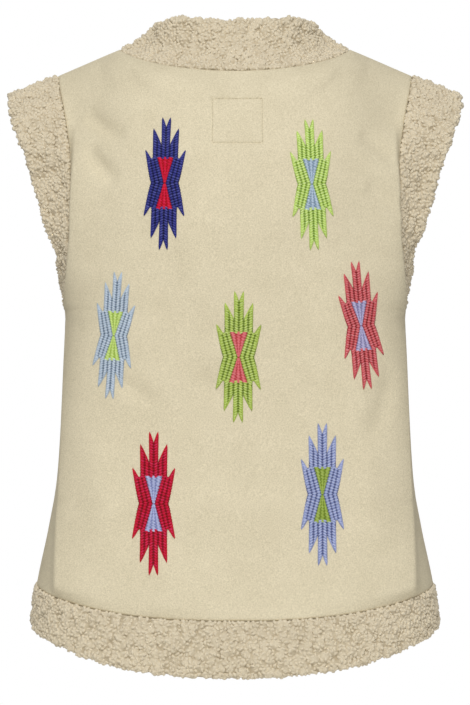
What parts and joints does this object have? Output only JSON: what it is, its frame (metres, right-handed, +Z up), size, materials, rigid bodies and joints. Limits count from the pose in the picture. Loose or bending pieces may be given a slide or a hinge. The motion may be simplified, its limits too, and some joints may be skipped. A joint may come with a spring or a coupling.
{
  "type": "gilet",
  "caption": "Short sleeveless gilet in pale suede-look cloth with curled-pile collar, armhole bands and hem, and embroidered lozenges on the back, in its hollow worn form.",
  "frame": {"origin": "midway between the two points where the shoulder seams meet the collar", "axes": "+Z up, -Y the way the wearer faces, +X the wearer's left"},
  "size_m": [0.4806, 0.2784, 0.6749],
  "materials": {
    "suede_cloth": "matt, fine nap",
    "curled_pile": "matt, tight curls"
  },
  "bodies": {
    "root": {"back_panel": "suede_cloth", "front_left": "suede_cloth", "front_right": "suede_cloth", "hem_band_back": "curled_pile", "hem_band_front_left": "curled_pile", "hem_band_front_right": "curled_pile", "armhole_band_left": "curled_pile", "armhole_band_right": "curled_pile", "collar": "curled_pile"}
  },
  "joints": []
}
